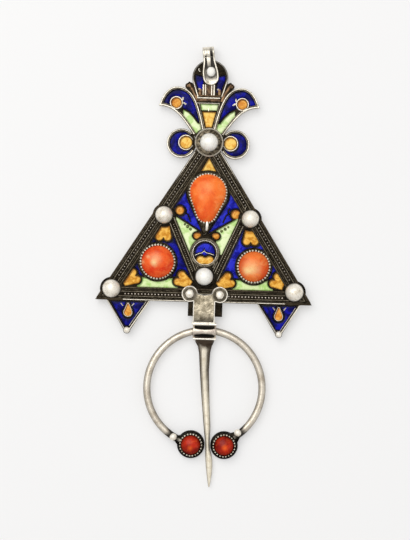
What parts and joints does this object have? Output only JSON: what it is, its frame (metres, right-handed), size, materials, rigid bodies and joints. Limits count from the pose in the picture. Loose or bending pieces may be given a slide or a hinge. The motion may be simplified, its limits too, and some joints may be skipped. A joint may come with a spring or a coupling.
{
  "type": "enamelled silver fibula brooch",
  "caption": "Triangular enamelled silver brooch with coral, a flowered crest with a bail, and a pin whose tubular head carries a swinging open ring.",
  "frame": {"origin": "centre of the bounding box in plan, on the surface that the brooch lies on", "axes": "+Z out of the brooch's face, +Y from the pin's tip to the bail, +X to the right as the face is seen"},
  "size_m": [0.0642, 0.1324, 0.0066],
  "materials": {
    "silver": "worn silver, bright on the high places and blackened in the hollows",
    "blue_enamel": "glossy opaque cobalt enamel",
    "green_enamel": "glossy opaque pale green enamel",
    "amber_enamel": "glossy opaque amber enamel",
    "coral": "polished mottled coral",
    "ring_coral": "polished dark red coral"
  },
  "bodies": {
    "brooch": {"plaque": "silver", "pin": "silver", "bail": "silver", "bail_rivet": "silver", "left_rivet": "silver", "right_rivet": "silver", "drop_coral": "coral", "left_coral": "coral", "right_coral": "coral", "left_top_heart": "amber_enamel", "right_top_heart": "amber_enamel", "left_outer_heart": "amber_enamel", "right_outer_heart": "amber_enamel", "left_inner_heart": "amber_enamel", "right_inner_heart": "amber_enamel", "left_field_blue": "blue_enamel", "left_corner_blue": "blue_enamel", "left_field_green": "green_enamel", "left_upper_blue": "blue_enamel", "left_upper_dot": "amber_enamel", "left_arm_green": "green_enamel", "left_arm_leaf": "amber_enamel", "left_point_blue": "blue_enamel", "left_point_drop": "amber_enamel", "left_lobe_blue": "blue_enamel", "left_lobe_disc": "amber_enamel", "left_petal_blue": "blue_enamel", "left_petal_green": "green_enamel", "left_petal_disc": "amber_enamel", "left_crown_blue": "blue_enamel", "right_field_blue": "blue_enamel", "right_corner_blue": "blue_enamel", "right_field_green": "green_enamel", "right_upper_blue": "blue_enamel", "right_upper_dot": "amber_enamel", "right_arm_green": "green_enamel", "right_arm_leaf": "amber_enamel", "right_point_blue": "blue_enamel", "right_point_drop": "amber_enamel", "right_lobe_blue": "blue_enamel", "right_lobe_disc": "amber_enamel", "right_petal_blue": "blue_enamel", "right_petal_green": "green_enamel", "right_petal_disc": "amber_enamel", "right_crown_blue": "blue_enamel", "apex_drop": "amber_enamel", "round_blue": "blue_enamel", "round_bowl": "amber_enamel", "crest_green": "green_enamel", "crest_yellow": "amber_enamel"},
    "ring": {"ring": "silver", "left_tip_coral": "ring_coral", "right_tip_coral": "ring_coral"}
  },
  "joints": [
    {"name": "ring_swing", "type": "hinge", "parent": "brooch", "child": "ring", "pos_m": [0.00055, -0.01925, 0.0022], "axis": [-1, 0, 0], "range_deg": [0, 160]}
  ]
}
